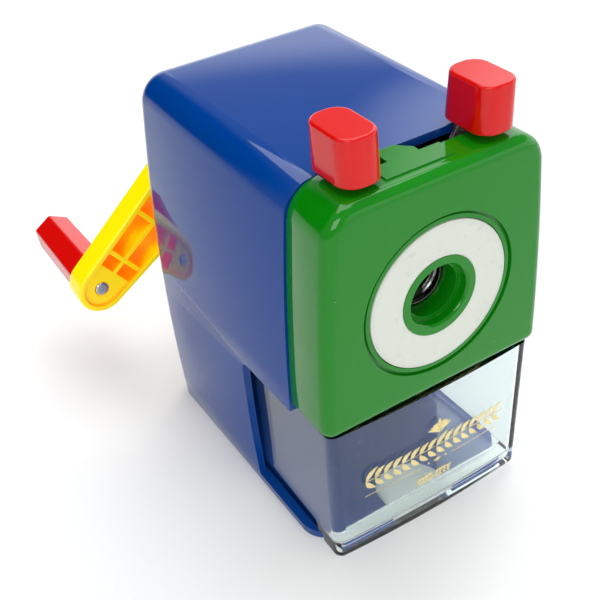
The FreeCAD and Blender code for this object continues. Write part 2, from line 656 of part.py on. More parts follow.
def drawer():
    outer = tray(0, DRAWER_FRONT, DRAWER_BACK, APRON_Z, DRAWER_Z1, 2.2, 1.8)
    # behind the front wall the tray stands on the floor
    outer = outer.cut(box(-40, 40, APRON_BACK, DRAWER_BACK + 1, -1, DRAWER_Z0))
    outer = fillet_where(outer, 1.4, lambda e: abs(e.BoundBox.ZMin - DRAWER_Z0) < 0.01
                         and abs(e.BoundBox.ZMax - DRAWER_Z0) < 0.01 and e.BoundBox.YMax > APRON_BACK + 0.1)
    inner = tray(DRAWER_WALL, DRAWER_FRONT + 1.9, DRAWER_BACK - DRAWER_WALL, DRAWER_Z0 + 1.8,
                 DRAWER_Z1 + 5, 1.5, 1.4)
    return outer.cut(inner)


save("shavings_drawer", drawer())
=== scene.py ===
"""Desk pencil sharpener with a hand crank: surfaces, springs, screws, cutter, foil ornament and studio."""

import math

import bmesh
import bpy
from bpy.props import FloatProperty, FloatVectorProperty, IntProperty, PointerProperty
from mathutils import Matrix, Vector


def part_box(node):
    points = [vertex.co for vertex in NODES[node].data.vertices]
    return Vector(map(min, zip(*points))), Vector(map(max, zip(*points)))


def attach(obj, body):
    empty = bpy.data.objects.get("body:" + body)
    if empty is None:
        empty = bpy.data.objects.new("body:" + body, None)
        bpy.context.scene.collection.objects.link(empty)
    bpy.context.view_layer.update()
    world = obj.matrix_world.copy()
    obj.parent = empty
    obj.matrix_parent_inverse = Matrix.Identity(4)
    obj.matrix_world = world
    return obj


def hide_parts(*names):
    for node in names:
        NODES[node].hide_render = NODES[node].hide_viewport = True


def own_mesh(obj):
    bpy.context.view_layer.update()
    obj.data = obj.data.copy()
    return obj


bl_info = {
    "name": "Desk Pencil Sharpener",
    "version": (1, 0, 0),
    "blender": (4, 5, 0),
    "location": "3D View > Sidebar > Sharpener",
    "description": "Finishes a crank pencil sharpener, its coils, screws, cutter and studio",
    "category": "Add Mesh",
}

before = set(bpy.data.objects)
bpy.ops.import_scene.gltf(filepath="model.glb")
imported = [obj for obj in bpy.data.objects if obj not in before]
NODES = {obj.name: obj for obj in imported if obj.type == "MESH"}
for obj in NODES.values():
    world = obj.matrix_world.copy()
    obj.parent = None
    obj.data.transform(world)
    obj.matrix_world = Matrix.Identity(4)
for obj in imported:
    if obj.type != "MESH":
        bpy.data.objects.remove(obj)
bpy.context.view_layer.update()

# Places, in metres, mostly read from the frame
AXIS_Z = sum(c.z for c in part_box("ring_label")) / 2
DRAWER_FACE_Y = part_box("shavings_drawer")[0].y
DRAWER_BOW_RADIUS = 0.37
MM = 0.001
# painted glow of the crank arm, which is no lamp
ARM_PAINTED_GLOW = 0.30
COIL_BOXES = {side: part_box("feed_spring_" + side) for side in ("left", "right")}


# ------------------------------------------------------------------ settings
def colour_prop(label, text, value):
    return FloatVectorProperty(
        name=label, description=text, subtype="COLOR", size=4, min=0.0, max=1.0, default=(*value, 1.0)
    )


def length_prop(label, text, value):
    return FloatProperty(
        name=label, description=text, subtype="DISTANCE", unit="LENGTH", min=0.0, precision=5,
        default=value
    )


class SharpenerColours(bpy.types.PropertyGroup):
    """Colours of the mouldings, metals and print."""

    housing: colour_prop("Housing", "Colour of the body shell and floor", (0.0, 0.046, 0.265))
    front: colour_prop("Front plate", "Colour of the sliding front plate", (0.003, 0.215, 0.003))
    knobs: colour_prop(
        "Knobs and handle", "Colour of the two knobs and the crank handle", (0.70, 0.004, 0.003)
    )
    arm: colour_prop("Crank arm", "Colour of the crank arm", (0.98, 0.70, 0.002))
    # painted shade: this orange is painted into the arm's pockets in place of the light bounced between
    # their walls
    arm_pocket_painted_shade: colour_prop("Crank arm, deep", "Colour inside the arm's pockets", (1.0, 0.27, 0.0))
    drawer: colour_prop("Drawer", "Tint of the clear drawer", (0.93, 0.985, 0.97))
    label: colour_prop("Ring", "Colour of the ring round the hole", (0.72, 0.75, 0.66))
    foil: colour_prop("Foil", "Colour of the printed ornament", (0.93, 0.78, 0.38))


class SharpenerSizes(bpy.types.PropertyGroup):
    """Sizes of the pieces made here."""

    edge_round: length_prop("Edge rounding", "Radius broken on the moulded edges", 0.00028)
    fine_edge_round: length_prop("Fine edge rounding", "Radius broken on small metal edges", 0.00012)
    coil_wire: length_prop("Coil wire", "Thickness of the feed springs' wire", 0.00056)
    coil_turns: IntProperty(
        name="Coil turns", description="Turns in each feed spring", min=4, max=40, default=13
    )
    foil_thickness: length_prop("Foil thickness", "How far the print stands off the drawer", 0.00006)
    flute_depth: length_prop("Flute depth", "Depth of the cutter's flutes", 0.00095)


class SharpenerStage(bpy.types.PropertyGroup):
    """Table, lights and camera."""

    floor_size: length_prop("Table size", "Width and depth of the table top", 3.0)
    key_power: FloatProperty(
        name="Key light", description="Power of the big light overhead", unit="POWER", min=0.0,
        default=10.0
    )
    fill_power: FloatProperty(
        name="Fill light", description="Power of the light in front on the left", unit="POWER", min=0.0,
        default=5.0
    )
    back_power: FloatProperty(
        name="Back light", description="Power of the light behind on the right", unit="POWER", min=0.0,
        default=0.5
    )
    room_glow: FloatProperty(
        name="Room glow", description="Brightness of the surrounding room", min=0.0, default=0.42
    )


def colours():
    return bpy.context.scene.sharpener_colours


def sizes():
    return bpy.context.scene.sharpener_sizes


# ------------------------------------------------------------------ shader node helpers
def add(tree, kind, **values):
    node = tree.nodes.new(kind)
    for key, value in values.items():
        setattr(node, key, value)
    return node


def join(tree, source, target):
    tree.links.new(source, target)


def feed(tree, node, name, value):
    """Sets a socket to a number or links it to another socket."""
    socket = node.inputs[name]
    if isinstance(value, bpy.types.NodeSocket):
        tree.links.new(value, socket)
    else:
        socket.default_value = value


def maths(tree, operation, a, b=0.0, c=0.0, clamp=False):
    node = add(tree, "ShaderNodeMath", operation=operation, use_clamp=clamp)
    for i, value in enumerate((a, b, c)):
        feed(tree, node, i, value)
    return node.outputs[0]


def mix_colour(tree, factor, a, b, blend="MIX"):
    node = add(tree, "ShaderNodeMix", data_type="RGBA", blend_type=blend)
    feed(tree, node, 0, factor)
    feed(tree, node, 6, a)
    feed(tree, node, 7, b)
    return node.outputs[2]


def ramp(tree, value, low, high, out_low=0.0, out_high=1.0):
    node = add(tree, "ShaderNodeMapRange", interpolation_type="SMOOTHSTEP")
    feed(tree, node, "Value", value)
    feed(tree, node, "From Min", low)
    feed(tree, node, "From Max", high)
    feed(tree, node, "To Min", out_low)
    feed(tree, node, "To Max", out_high)
    return node.outputs["Result"]


def noise(tree, vector, scale, detail=2.0, rough=0.5, distortion=0.0):
    node = add(tree, "ShaderNodeTexNoise")
    join(tree, vector, node.inputs["Vector"])
    feed(tree, node, "Scale", scale)
    feed(tree, node, "Detail", detail)
    feed(tree, node, "Roughness", rough)
    feed(tree, node, "Distortion", distortion)
    return node.outputs["Fac"]


def stretched(tree, vector, scale, turn=(0.0, 0.0, 0.0)):
    node = add(tree, "ShaderNodeMapping")
    join(tree, vector, node.inputs["Vector"])
    node.inputs["Scale"].default_value = scale
    node.inputs["Rotation"].default_value = turn
    return node.outputs["Vector"]


def new_group(name, inputs, outputs):
    tree = bpy.data.node_groups.new(name, "ShaderNodeTree")
    for label, kind, default in inputs:
        socket = tree.interface.new_socket(label, in_out="INPUT", socket_type="NodeSocket" + kind)
        socket.default_value = default
    for label, kind in outputs:
        tree.interface.new_socket(label, in_out="OUTPUT", socket_type="NodeSocket" + kind)
    return tree, add(tree, "NodeGroupInput").outputs, add(tree, "NodeGroupOutput").inputs


def moulded_skin_group():
    """Moulded plastic: cloudy pigment, orange peel, hair scratches and specks of dust."""
    tree, given, out = new_group(
        "Moulded skin",
        [("Colour", "Color", (0.5, 0.5, 0.5, 1)), ("Roughness", "Float", 0.1), ("Clouding", "Float", 0.2),
         ("Scratches", "Float", 0.4), ("Dust", "Float", 0.3)],
        [("Colour", "Color"), ("Roughness", "Float"), ("Height", "Float")],
    )
    place = add(tree, "ShaderNodeTexCoord").outputs["Object"]
    cloud = noise(tree, place, 42.0, 3.0, 0.55, 0.7)
    deep = mix_colour(tree, 1.0, given["Colour"], (0.78, 0.80, 0.84, 1), "MULTIPLY")
    tone = mix_colour(tree, maths(tree, "MULTIPLY", cloud, given["Clouding"]), given["Colour"], deep)
    peel = noise(tree, place, 620.0, 2.0, 0.45)
    grain = noise(tree, place, 5200.0, 1.0, 0.5)
    lines = None
    for turn, scale in (((0.3, 0.5, 0.9), (90, 2300, 2300)), ((1.1, 0.2, 2.1), (2600, 2600, 120))):
        hair = ramp(tree, noise(tree, stretched(tree, place, scale, turn), 1.0, 1.0), 0.735, 0.765)
        lines = hair if lines is None else maths(tree, "MAXIMUM", lines, hair)
    patches = ramp(tree, noise(tree, place, 75.0, 1.0), 0.50, 0.66)
    lines = maths(tree, "MULTIPLY", maths(tree, "MULTIPLY", lines, patches), given["Scratches"])
    cells = add(tree, "ShaderNodeTexVoronoi")
    join(tree, place, cells.inputs["Vector"])
    cells.inputs["Scale"].default_value = 720.0
    speck = ramp(tree, cells.outputs["Distance"], 0.13, 0.06)
    picked = add(tree, "ShaderNodeSeparateColor")
    join(tree, cells.outputs["Color"], picked.inputs["Color"])
    rare = maths(tree, "LESS_THAN", picked.outputs["Red"], maths(tree, "MULTIPLY", given["Dust"], 0.12))
    speck = maths(tree, "MULTIPLY", speck, rare)
    tone = mix_colour(tree, maths(tree, "MULTIPLY", speck, 0.45), tone, (0.62, 0.60, 0.56, 1))
    rough = maths(tree, "MULTIPLY_ADD", cloud, 0.035, given["Roughness"])
    rough = maths(tree, "MULTIPLY_ADD", lines, 0.16, rough)
    rough = maths(tree, "MULTIPLY_ADD", speck, 0.45, rough, clamp=True)
    height = maths(tree, "MULTIPLY_ADD", peel, 0.75, maths(tree, "MULTIPLY", grain, 0.10))
    height = maths(tree, "MULTIPLY_ADD", lines, -0.35, height)
    height = maths(tree, "MULTIPLY_ADD", speck, 0.9, height)
    join(tree, tone, out["Colour"])
    join(tree, rough, out["Roughness"])
    join(tree, height, out["Height"])
    return tree


def metal_grain_group():
    """Drawn, ground or cast metal: directional grain, blotches of tarnish and fine pits."""
    tree, given, out = new_group(
        "Metal grain",
        [("Colour", "Color", (0.6, 0.6, 0.6, 1)), ("Roughness", "Float", 0.3), ("Along X", "Float", 900.0),
         ("Along Y", "Float", 900.0), ("Along Z", "Float", 900.0), ("Grain", "Float", 0.5),
         ("Tarnish", "Float", 0.3)],
        [("Colour", "Color"), ("Roughness", "Float"), ("Height", "Float")],
    )
    place = add(tree, "ShaderNodeTexCoord").outputs["Object"]
    scale = add(tree, "ShaderNodeCombineXYZ")
    for axis in "XYZ":
        join(tree, given["Along " + axis], scale.inputs[axis])
    product = add(tree, "ShaderNodeVectorMath", operation="MULTIPLY")
    join(tree, place, product.inputs[0])
    join(tree, scale.outputs[0], product.inputs[1])
    streak = noise(tree, product.outputs[0], 1.0, 3.0, 0.6)
    blotch = noise(tree, place, 190.0, 4.0, 0.6, 0.4)
    pits = ramp(tree, noise(tree, place, 2600.0, 2.0), 0.60, 0.74)
    stain = maths(tree, "MULTIPLY", ramp(tree, blotch, 0.46, 0.70), given["Tarnish"])
    dull = mix_colour(tree, 1.0, given["Colour"], (0.50, 0.46, 0.40, 1), "MULTIPLY")
    tone = mix_colour(tree, stain, given["Colour"], dull)
    tone = mix_colour(tree, maths(tree, "MULTIPLY", pits, 0.35), tone, dull)
    swing = maths(tree, "MULTIPLY", maths(tree, "SUBTRACT", streak, 0.5), given["Grain"])
    rough = maths(tree, "MULTIPLY_ADD", swing, 0.5, given["Roughness"])
    rough = maths(tree, "MULTIPLY_ADD", stain, 0.35, rough, clamp=True)
    height = maths(tree, "MULTIPLY_ADD", swing, 1.0, maths(tree, "MULTIPLY", pits, -0.5))
    join(tree, tone, out["Colour"])
    join(tree, rough, out["Roughness"])
    join(tree, height, out["Height"])
    return tree


def rubbed_edge_group():
    """Mask of the outer edges, where handling polishes and lightens a moulding."""
    tree, given, out = new_group(
        "Rubbed edge", [("Radius", "Float", 0.0004), ("Gain", "Float", 6.0)], [("Mask", "Float")]
    )
    rounded = add(tree, "ShaderNodeBevel", samples=4)
    join(tree, given["Radius"], rounded.inputs["Radius"])
    true = add(tree, "ShaderNodeNewGeometry")
    alike = add(tree, "ShaderNodeVectorMath", operation="DOT_PRODUCT")
    join(tree, rounded.outputs["Normal"], alike.inputs[0])
    join(tree, true.outputs["Normal"], alike.inputs[1])
    apart = maths(tree, "SUBTRACT", 1.0, alike.outputs["Value"])
    broken = noise(tree, add(tree, "ShaderNodeTexCoord").outputs["Object"], 420.0, 3.0, 0.6)
    mask = maths(tree, "MULTIPLY", maths(tree, "MULTIPLY", apart, given["Gain"]), broken, clamp=True)
    join(tree, mask, out["Mask"])
    return tree


def pocket_shade_group():
    """Mask of the hollows, for painted shade: where light would bounce between the walls, the colour is
    painted deeper.
    """
    tree, given, out = new_group("Pocket shade", [("Reach", "Float", 0.006)], [("Mask", "Float")])
    open_sky = add(tree, "ShaderNodeAmbientOcclusion", samples=8)
    join(tree, given["Reach"], open_sky.inputs["Distance"])
    cloud = noise(tree, add(tree, "ShaderNodeTexCoord").outputs["Object"], 260.0, 2.0)
    shade = ramp(tree, open_sky.outputs["AO"], 0.42, 0.92, 1.0, 0.0)
    join(
        tree, maths(tree, "MULTIPLY", shade, ramp(tree, cloud, 0.2, 0.6, 0.85, 1.0), clamp=True),
        out["Mask"]
    )
    return tree


GROUP_MAKERS = {
    "Pocket shade": pocket_shade_group, "Moulded skin": moulded_skin_group,
    "Metal grain": metal_grain_group, "Rubbed edge": rubbed_edge_group
}


def placed(tree, name, **values):
    """Puts a shared node group in a material with its own values."""
    node = add(tree, "ShaderNodeGroup")
    node.node_tree = bpy.data.node_groups.get(name) or GROUP_MAKERS[name]()
    for key, value in values.items():
        feed(tree, node, key.replace("_", " "), value)
    return node.outputs


def new_material(name):
    material = bpy.data.materials.new(name)
    material.use_nodes = True
    tree = material.node_tree
    shader = next(n for n in tree.nodes if n.type == "BSDF_PRINCIPLED")
    return material, tree, shader


def bumped(tree, shader, height, depth, strength=1.0):
    bump = add(tree, "ShaderNodeBump")
    bump.inputs["Strength"].default_value = strength
    bump.inputs["Distance"].default_value = depth
    join(tree, height, bump.inputs["Height"])
    join(tree, bump.outputs["Normal"], shader.inputs["Normal"])


def plastic(
    name, colour, rough=0.07, clouding=0.25, scratches=0.4, dust=0.35, peel=0.0000035, ior=1.5, rub=0.25,
    crown=0.0, deep=None
):
    """Glossy moulding. crown bulges its faces; deep is a painted shade colour for its pockets and also
    gives the moulding a painted glow.
    """
    material, tree, shader = new_material(name)
    tint = tuple(colour)
    if deep:
        # painted shade: the deeper colour is painted in where the hollows are shaded
        painted_shade_mask = placed(tree, "Pocket shade", Reach=0.006)["Mask"]
        tint = mix_colour(tree, painted_shade_mask, tint, tuple(deep))
    skin = placed(
        tree, "Moulded skin", Colour=tint, Roughness=rough, Clouding=clouding, Scratches=scratches,
        Dust=dust
    )
    worn = placed(tree, "Rubbed edge", Radius=0.0005, Gain=rub * 8.0)["Mask"]
    pale = mix_colour(tree, 0.35, skin["Colour"], (0.75, 0.75, 0.75, 1))
    join(
        tree, mix_colour(tree, maths(tree, "MULTIPLY", worn, rub), skin["Colour"], pale),
        shader.inputs["Base Color"]
    )
    join(tree, skin["Roughness"], shader.inputs["Roughness"])
    if deep:
        join(tree, tint, shader.inputs["Emission Color"])
        # painted glow: the arm gives off its own colour, though it is no lamp, so that it looks more
        # brightly lit
        shader.inputs["Emission Strength"].default_value = ARM_PAINTED_GLOW
    height = skin["Height"]
    if crown:
        # faces bulge very slightly, as thin mouldings do when they cool
        split = add(tree, "ShaderNodeSeparateXYZ")
        join(tree, add(tree, "ShaderNodeTexCoord").outputs["Object"], split.inputs[0])
        wide = maths(tree, "MULTIPLY", split.outputs["X"], split.outputs["X"])
        squared = maths(tree, "MULTIPLY_ADD", split.outputs["Y"], split.outputs["Y"], wide)
        height = maths(tree, "MULTIPLY_ADD", squared, -0.5 / (crown * peel), height)
    bumped(tree, shader, height, peel)
    shader.inputs["IOR"].default_value = ior
    return material


def metal(name, colour, rough=0.3, along=(900, 900, 900), grain=0.5, tarnish=0.2, depth=0.000004):
    material, tree, shader = new_material(name)
    look = placed(tree, "Metal grain", Colour=(*colour, 1), Roughness=rough, Grain=grain, Tarnish=tarnish,
                  Along_X=float(along[0]), Along_Y=float(along[1]), Along_Z=float(along[2]))
    worn = placed(tree, "Rubbed edge", Radius=0.0002, Gain=5.0)["Mask"]
    bright = tuple(min(1.0, c * 1.35) for c in colour)
    join(tree, mix_colour(tree, worn, look["Colour"], (*bright, 1)), shader.inputs["Base Color"])
    join(tree, look["Roughness"], shader.inputs["Roughness"])
    shader.inputs["Metallic"].default_value = 1.0
    bumped(tree, shader, look["Height"], depth)
    return material


def clear_plastic(name, tint):
    material, tree, shader = new_material(name)
    skin = placed(
        tree, "Moulded skin", Colour=tuple(tint), Roughness=0.015, Clouding=0.05, Scratches=0.7, Dust=0.1
    )
    join(tree, skin["Colour"], shader.inputs["Base Color"])
    join(tree, skin["Roughness"], shader.inputs["Roughness"])
    bumped(tree, shader, skin["Height"], 0.000002)
    shader.inputs["Transmission Weight"].default_value = 1.0
    shader.inputs["IOR"].default_value = 1.45
    # shadow rays pass straight through, so light reaches the table behind the walls
    surface = next(n for n in tree.nodes if n.type == "OUTPUT_MATERIAL").inputs["Surface"]
    blend = add(tree, "ShaderNodeMixShader")
    through = add(tree, "ShaderNodeBsdfTransparent")
    join(tree, add(tree, "ShaderNodeLightPath").outputs["Is Shadow Ray"], blend.inputs[0])
    join(tree, shader.outputs[0], blend.inputs[1])
    join(tree, through.outputs[0], blend.inputs[2])
    join(tree, blend.outputs[0], surface)
    return material


def ring_paint(name, colour):
    """Off-white lacquer on a stamped disc: faint turning rings and small grey stains."""
    material, tree, shader = new_material(name)
    place = add(tree, "ShaderNodeTexCoord").outputs["Object"]
    split = add(tree, "ShaderNodeSeparateXYZ")
    join(tree, place, split.inputs[0])
    across = maths(tree, "MULTIPLY", split.outputs["X"], split.outputs["X"])
    up = maths(tree, "SUBTRACT", split.outputs["Z"], AXIS_Z)
    radius = maths(tree, "SQRT", maths(tree, "ADD", across, maths(tree, "MULTIPLY", up, up)))
    turning = maths(
        tree, "MULTIPLY_ADD", maths(tree, "SINE", maths(tree, "MULTIPLY", radius, 24000.0)), 0.5, 0.5
    )
    skin = placed(
        tree, "Moulded skin", Colour=tuple(colour), Roughness=0.30, Clouding=0.55, Scratches=0.6, Dust=0.8
    )
    stains = ramp(tree, noise(tree, place, 330.0, 5.0, 0.65, 0.5), 0.57, 0.72)
    tone = mix_colour(tree, maths(tree, "MULTIPLY", stains, 0.22), skin["Colour"], (0.30, 0.31, 0.27, 1))
    rim = ramp(tree, radius, 0.0164, 0.0179)
    tone = mix_colour(tree, maths(tree, "MULTIPLY", rim, 0.16), tone, (0.35, 0.38, 0.32, 1))
    join(tree, tone, shader.inputs["Base Color"])
    join(tree, maths(tree, "MULTIPLY_ADD", stains, 0.15, skin["Roughness"]), shader.inputs["Roughness"])
    bumped(tree, shader, maths(tree, "MULTIPLY_ADD", turning, 0.35, skin["Height"]), 0.000004)
    return material


def rubber(name):
    material, tree, shader = new_material(name)
    skin = placed(
        tree, "Moulded skin", Colour=(0.024, 0.024, 0.026, 1), Roughness=0.62, Clouding=0.6, Scratches=0.2,
        Dust=2.0
    )
    join(tree, skin["Colour"], shader.inputs["Base Color"])
    join(tree, skin["Roughness"], shader.inputs["Roughness"])
    bumped(tree, shader, skin["Height"], 0.00002)
    return material


def foil(name, colour):
    material, tree, shader = new_material(name)
    look = placed(tree, "Metal grain", Colour=tuple(colour), Roughness=0.27, Grain=0.5, Tarnish=0.35,
                  Along_X=700.0, Along_Y=700.0, Along_Z=700.0)
    join(tree, look["Colour"], shader.inputs["Base Color"])
    join(tree, look["Roughness"], shader.inputs["Roughness"])
    shader.inputs["Metallic"].default_value = 0.85
    bumped(tree, shader, look["Height"], 0.000006)
    return material


# ------------------------------------------------------------------ mesh helpers
def dress(node, material):
    """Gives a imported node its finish."""
    mesh = NODES[node].data
    mesh.materials.clear()
    mesh.materials.append(material)
    return NODES[node]


def soften(node, width, angle=32.0, segments=2):
    """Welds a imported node's split edges and breaks its sharp ones."""
    piece = NODES[node]
    weld = piece.modifiers.new("Weld seams", "WELD")
    weld.merge_threshold = 0.000002
    edge = piece.modifiers.new("Broken edges", "BEVEL")
    edge.width = width
    edge.segments = segments
    edge.limit_method = "ANGLE"
    edge.angle_limit = math.radians(angle)
    edge.use_clamp_overlap = True
    edge.harden_normals = False
    return piece


def piece_from(bm, name, material, body, sharp=35.0):
    """Turns a bmesh into a finished piece that rides on a body."""
    bmesh.ops.remove_doubles(bm, verts=bm.verts, dist=0.0000005)
    bmesh.ops.recalc_face_normals(bm, faces=bm.faces)
    mesh = bpy.data.meshes.new(name)
    bm.to_mesh(mesh)
    bm.free()
    mesh.materials.append(material)
    for polygon in mesh.polygons:
        polygon.use_smooth = True
    mesh.set_sharp_from_angle(angle=math.radians(sharp))
    piece = bpy.data.objects.new(name, mesh)
    bpy.context.scene.collection.objects.link(piece)
    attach(piece, body)
    return piece


def skin_rings(bm, rings, close_ends=True, wrap=False):
    """Joins rings of points into a surface. A ring of one point closes to a tip."""
    made = [[bm.verts.new(p) for p in ring] for ring in rings]
    pairs = list(zip(made, made[1:]))
    if wrap:
        pairs.append((made[-1], made[0]))
    for a, b in pairs:
        count = max(len(a), len(b))
        for i in range(count):
            j = (i + 1) % count
            if len(a) == 1:
                bm.faces.new((a[0], b[i], b[j]))
            elif len(b) == 1:
                bm.faces.new((a[i], a[j], b[0]))
            else:
                bm.faces.new((a[i], a[j], b[j], b[i]))
    if close_ends and not wrap:
        for ring in (made[0], made[-1]):
            if len(ring) > 2:
                bm.faces.new(ring)


def turned(profile, place, segments=48, recess=None):
    """Rings for a turned shape. profile holds (radius, height); recess lowers the head near its middle."""
    rings = []
    for radius, height in profile:
        if radius < 1e-7:
            drop = recess(0.0, 0.0) if recess else 0.0
            rings.append([place @ Vector((0.0, 0.0, height - drop))])
            continue
        ring = []
        for i in range(segments):
            a = 2 * math.pi * i / segments
            x, y = radius * math.cos(a), radius * math.sin(a)
            drop = recess(x, y) if recess else 0.0
            ring.append(place @ Vector((x, y, height - drop)))
        rings.append(ring)
    return rings


def facing(centre, axis, turn=0.0):
    """Matrix whose Z is the axis and whose origin is the centre."""
    look = Vector(axis).to_track_quat("Z", "Y").to_matrix().to_4x4()
    return Matrix.Translation(Vector(centre)) @ look @ Matrix.Rotation(turn, 4, "Z")


def smooth(t):
    t = max(0.0, min(1.0, t))
    return t * t * (3 - 2 * t)


def cross_recess(radius, deep):
    """Depth of a tapering cross-shaped driver recess at a point of the head."""
    reach, width = radius * 0.58, radius * 0.15

    def drop(x, y):
        r = math.hypot(x, y)
        if r > reach:
            return 0.0
        near = min(abs(x), abs(y))
        side = 1.0 - smooth((near - width) / (radius * 0.07))
        heart = 1.0 - smooth((r - width * 1.5) / (radius * 0.10))
        ends = smooth((reach - r) / (radius * 0.12))
        return deep * max(side, heart) * ends * (1.0 - 0.45 * r / reach)

    return drop


def screw_into(bm, centre, axis, radius, height, shank, length, turn=0.0):
    """Pan head with a cross recess and a threaded shank. axis points out of the head."""
    place = facing(centre, axis, turn)
    face = [(radius * (i / 26.0), 0.0) for i in range(27)]
    profile = []
    for r, _ in face:
        k = r / radius
        profile.append((r, height * (1.0 - 0.30 * k ** 2.6) if k < 0.97 else height * 0.62))
    recess = cross_recess(radius, height * 0.75)
    skin = turned(profile, place, 64, recess)
    side = [(radius * 1.0, height * 0.30), (radius * 0.985, 0.0), (shank * 1.05, 0.0)]
    pitch = shank * 0.62
    z, k = -pitch * 0.4, 0
    while z > -length + pitch:
        side.append((shank * (1.0 if k % 2 else 0.76), z))
        z -= pitch / 2
        k += 1
    side.append((shank * 0.5, -length + 0.0002))
    side.append((0.0, -length))
    skin += turned(side, place, 64)
    skin_rings(bm, skin)


def tilted_axis():
    """Place of the cutter: its axis lies over by 10.5 degrees about the gear's centre."""
    pivot = Vector((0.0, 0.0215, AXIS_Z + 0.0072))
    lean = Matrix.Rotation(math.radians(-10.5), 4, "X")
    return Matrix.Translation(pivot) @ lean @ Matrix.Translation(-pivot)


# ------------------------------------------------------------------ operators
class SHARPENER_OT_housing(bpy.types.Operator):
    """Finish the blue body shell, the floor, the feet and the inner frame"""

    bl_idname = "sharpener.housing"
    bl_label = "Finish housing"

    def execute(self, context):
        blue = plastic(
            "Blue gloss styrene", colours().housing, rough=0.035, clouding=0.22, scratches=0.2, dust=0.06,
            crown=0.6, ior=1.42
        )
        floor = plastic(
            "Blue satin floor", colours().housing, rough=0.20, clouding=0.35, scratches=0.8, dust=0.6,
            peel=0.000008
        )
        black = plastic(
            "Black frame nylon", (0.018, 0.018, 0.020, 1), rough=0.38, clouding=0.4, scratches=0.3,
            dust=0.9, peel=0.000010
        )
        natural = plastic(
            "Natural acetal", (0.66, 0.65, 0.60, 1), rough=0.30, clouding=0.3, scratches=0.3, dust=0.5
        )
        dress("body_shell", blue)
        dress("base_floor", floor)
        dress("gear_frame", black)
        dress("rod_bushes", natural)
        dress("rubber_feet", rubber("Black foot rubber"))
        dress("ring_gear", metal("Sintered gear steel", (0.40, 0.40, 0.41), 0.42, grain=0.7, tarnish=0.35))
        dress("rear_bearing", natural)
        soften("body_shell", sizes().edge_round)
        soften("base_floor", sizes().edge_round)
        soften("gear_frame", 0.0003)
        soften("rod_bushes", sizes().fine_edge_round)
        soften("rubber_feet", 0.00025)
        soften("ring_gear", 0.00008)
        soften("rear_bearing", 0.0002)
        return {"FINISHED"}


class SHARPENER_OT_front_plate(bpy.types.Operator):
    """Finish the green front plate, its ring, the steel nose and the parts it carries"""

    bl_idname = "sharpener.front_plate"
    bl_label = "Finish front plate"

    def execute(self, context):
        green = plastic(
            "Green gloss styrene", colours().front, rough=0.045, clouding=0.25, scratches=0.2, dust=0.08,
            ior=1.42
        )
        dress("front_plate", green)
        dress("ring_label", ring_paint("White ring lacquer", colours().label))
        steel = metal("Dark pressed steel", (0.17, 0.165, 0.15), 0.24, grain=0.5, tarnish=0.4)
        sheet = metal(
            "Plated sheet steel", (0.55, 0.55, 0.54), 0.26, along=(300, 5200, 5200), grain=0.7,
            tarnish=0.25
        )
        bright = metal(
            "Ground rod steel", (0.72, 0.72, 0.73), 0.14, along=(3800, 300, 3800), grain=0.6, tarnish=0.12
        )
        clip = metal("Spring clip steel", (0.36, 0.35, 0.34), 0.30, grain=0.4, tarnish=0.3)
        white = plastic(
            "White strip", (0.80, 0.79, 0.72, 1), rough=0.32, clouding=0.5, scratches=0.6, dust=1.2
        )
        dress("nose_ring", steel)
        dress("jaw_guide", sheet)
        dress("pivot_collar", bright)
        dress("chuck_back_plate", sheet)
        dress("slot_strip", white)
        dress("guide_rod_left", bright)
        dress("guide_rod_right", bright)
        dress("rod_clips", clip)
        for name in ("lever_plate_left", "lever_plate_right"):
            dress(name, sheet)
            soften(name, sizes().fine_edge_round)
        for name in ("jaw_1", "jaw_2", "jaw_3"):
            dress(name, steel)
            soften(name, sizes().fine_edge_round)
        soften("front_plate", sizes().edge_round)
        soften("ring_label", 0.00012)
        soften("nose_ring", 0.00015)
        for name in (
            "slot_strip", "chuck_back_plate", "jaw_guide", "pivot_collar", "rod_clips", "guide_rod_left",
            "guide_rod_right"
        ):
            soften(name, sizes().fine_edge_round)
        return {"FINISHED"}


class SHARPENER_OT_knobs(bpy.types.Operator):
    """Finish the two red squeeze knobs"""

    bl_idname = "sharpener.knobs"
    bl_label = "Finish knobs"

    def execute(self, context):
        red = plastic(
            "Red gloss styrene", colours().knobs, rough=0.10, clouding=0.25, scratches=0.5, dust=0.08,
            ior=1.42
        )
        for name in ("knob_left", "knob_right"):
            dress(name, red)
            soften(name, 0.00018)
        return {"FINISHED"}


class SHARPENER_OT_crank(bpy.types.Operator):
    """Finish the crank arm, the hex handle, its pin and the shaft with its carrier"""

    bl_idname = "sharpener.crank"
    bl_label = "Finish crank"

    def execute(self, context):
        # the arm gets painted shade in its pockets and a painted glow
        yellow = plastic(
            "Yellow arm nylon", colours().arm, rough=0.14, clouding=0.2, scratches=0.4, dust=0.08,
            deep=colours().arm_pocket_painted_shade
        )
        red = plastic(
            "Red handle styrene", colours().knobs, rough=0.13, clouding=0.25, scratches=0.8, dust=0.08
        )
        zinc = metal(
            "Die-cast zinc", (0.42, 0.43, 0.45), 0.40, along=(700, 700, 700), grain=0.9, tarnish=0.45,
            depth=0.000012
        )
        plated = metal("Nickel pin", (0.66, 0.66, 0.66), 0.18, grain=0.3, tarnish=0.15)
        dress("crank_arm", yellow)
        dress("crank_handle", red)
        dress("cutter_carrier", zinc)
        dress("handle_pin", plated)
        dress("crank_washer", plated)
        dress("cutter_spindle", plated)
        dress("spindle_clip", plated)
        soften("crank_arm", 0.00022)
        soften("crank_handle", 0.00020)
        soften("cutter_carrier", 0.00025)
        for name in ("handle_pin", "crank_washer", "cutter_spindle", "spindle_clip"):
            soften(name, sizes().fine_edge_round)
        return {"FINISHED"}


